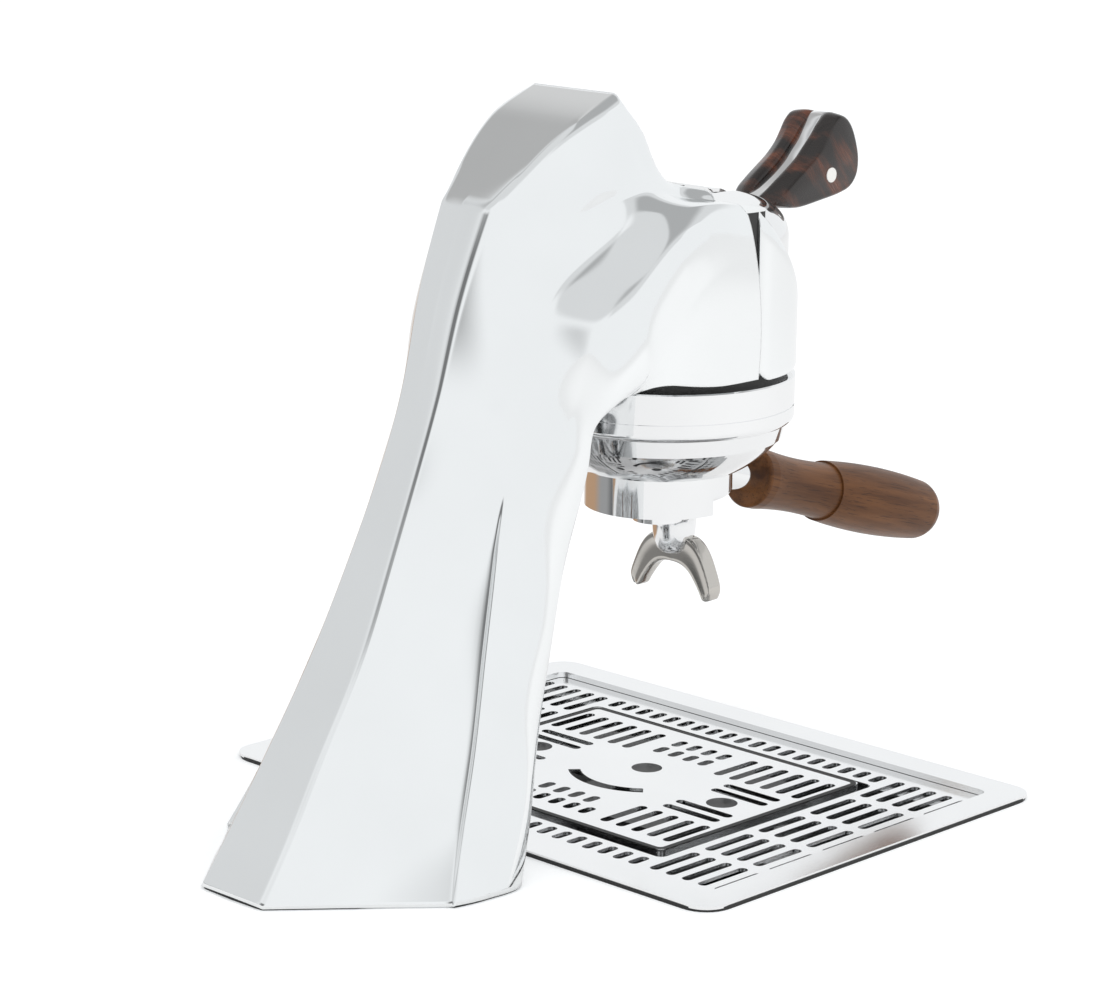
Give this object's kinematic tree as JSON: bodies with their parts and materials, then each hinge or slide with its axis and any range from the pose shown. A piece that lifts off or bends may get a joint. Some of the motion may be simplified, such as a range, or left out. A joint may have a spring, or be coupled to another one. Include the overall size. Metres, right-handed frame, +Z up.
{
  "type": "counter-mounted espresso machine",
  "caption": "Counter-mounted espresso tap: chrome tower with a paddle-operated group, wooden-handled twin-spout portafilter and a drop-in drip tray with a cup scale.",
  "frame": {"origin": "centre of the four counter bolts under the tower, on the counter's top face", "axes": "+Z up; -Y toward the barista, along the handle; +X to the left of someone who faces the barista from behind the tower"},
  "size_m": [0.314, 0.4794, 0.4108],
  "materials": {
    "chrome_casting": "polished chrome",
    "chrome_trim": "polished chrome",
    "tray_steel": "bright polished stainless steel",
    "spout_steel": "brushed stainless steel",
    "inner_steel": "zinc-plated steel",
    "screw_steel": "plain stainless steel",
    "brass": "turned brass",
    "walnut": "oiled walnut",
    "rosewood": "oiled dark wood",
    "cream_pin": "gloss",
    "black_rubber": "matt",
    "black_plastic": "matt",
    "cell_aluminium": "plain",
    "tube_plastic": "matt"
  },
  "bodies": {
    "frame": {"tower_shell": "chrome_casting", "base_plate": "inner_steel", "base_gasket": "black_rubber", "shell_screws": "screw_steel", "inlet_fitting": "brass", "drain_fitting": "brass", "cable_gland": "black_plastic", "feed_tube": "tube_plastic", "drain_tube": "tube_plastic", "heater_cable": "black_rubber", "group_bracket": "inner_steel", "bracket_bolts": "screw_steel", "group_block": "brass", "group_bolts": "screw_steel", "upper_ring": "chrome_trim", "bayonet_ring": "chrome_trim", "ring_seal": "black_rubber", "group_gasket": "black_rubber", "diffuser_block": "brass", "shower_screen": "tray_steel", "screen_screw": "screw_steel", "heater_cartridges": "inner_steel", "temperature_probe": "screw_steel", "solenoid_body": "brass", "solenoid_coil": "black_plastic", "plunger_spring": "screw_steel", "inner_liner": "black_plastic", "nose_cover": "chrome_trim", "top_cap": "chrome_trim", "bridge_plate": "chrome_trim", "small_screws": "screw_steel", "paddle_bracket": "inner_steel", "paddle_bushes": "brass", "return_spring": "screw_steel", "position_sensor": "black_plastic", "tray_basin": "tray_steel", "tray_gasket": "black_rubber", "drain_spigot": "inner_steel", "spigot_nut": "brass", "scale_base": "inner_steel", "load_cell": "cell_aluminium", "scale_gland": "black_plastic"},
    "paddle": {"paddle_spine": "chrome_trim", "paddle_scale_left": "rosewood", "paddle_scale_right": "rosewood", "paddle_pin": "cream_pin", "pivot_shaft": "screw_steel"},
    "portafilter": {"portafilter_body": "chrome_trim", "filter_basket": "tray_steel", "basket_spring": "screw_steel", "spout_hub": "chrome_trim", "twin_spout": "spout_steel", "wooden_handle": "walnut", "handle_bolt": "screw_steel"},
    "plunger": {"solenoid_plunger": "inner_steel"},
    "grate": {"drip_grate": "tray_steel"},
    "scale_platform": {"scale_spider": "inner_steel"},
    "cup_plate": {"cup_plate": "tray_steel"},
    "strainer": {"drain_strainer": "tray_steel"}
  },
  "joints": [
    {"name": "paddle_hinge", "type": "hinge", "parent": "frame", "child": "paddle", "pos_m": [0, -0.238, 0.256], "axis": [1, 0, 0], "range_deg": [-12, 0], "stiffness_Nm_per_rad": 0.3, "springref_deg": 28.65},
    {"name": "portafilter_turn", "type": "hinge", "parent": "frame", "child": "portafilter", "pos_m": [0, -0.205, 0.161], "axis": [0, 0, 1], "range_deg": [-50, 0]},
    {"name": "plunger_slide", "type": "slide", "parent": "frame", "child": "plunger", "axis": [0, 0, 1], "range_m": [0, 0.002], "stiffness_N_per_m": 400, "springref_m": -0.004, "deforming": ["plunger_spring"]},
    {"name": "grate_lift", "type": "slide", "parent": "frame", "child": "grate", "axis": [0, 0, 1], "range_m": [0, 0.04]},
    {"name": "scale_slide", "type": "slide", "parent": "frame", "child": "scale_platform", "axis": [0, 0, 1], "range_m": [-0.0006, 0], "stiffness_N_per_m": 50000, "springref_m": 0.0002, "deforming": ["load_cell"]},
    {"name": "cup_plate_lift", "type": "slide", "parent": "scale_platform", "child": "cup_plate", "axis": [0, 0, 1], "range_m": [0, 0.04]},
    {"name": "strainer_lift", "type": "slide", "parent": "frame", "child": "strainer", "axis": [0, 0, 1], "range_m": [0, 0.018]}
  ]
}
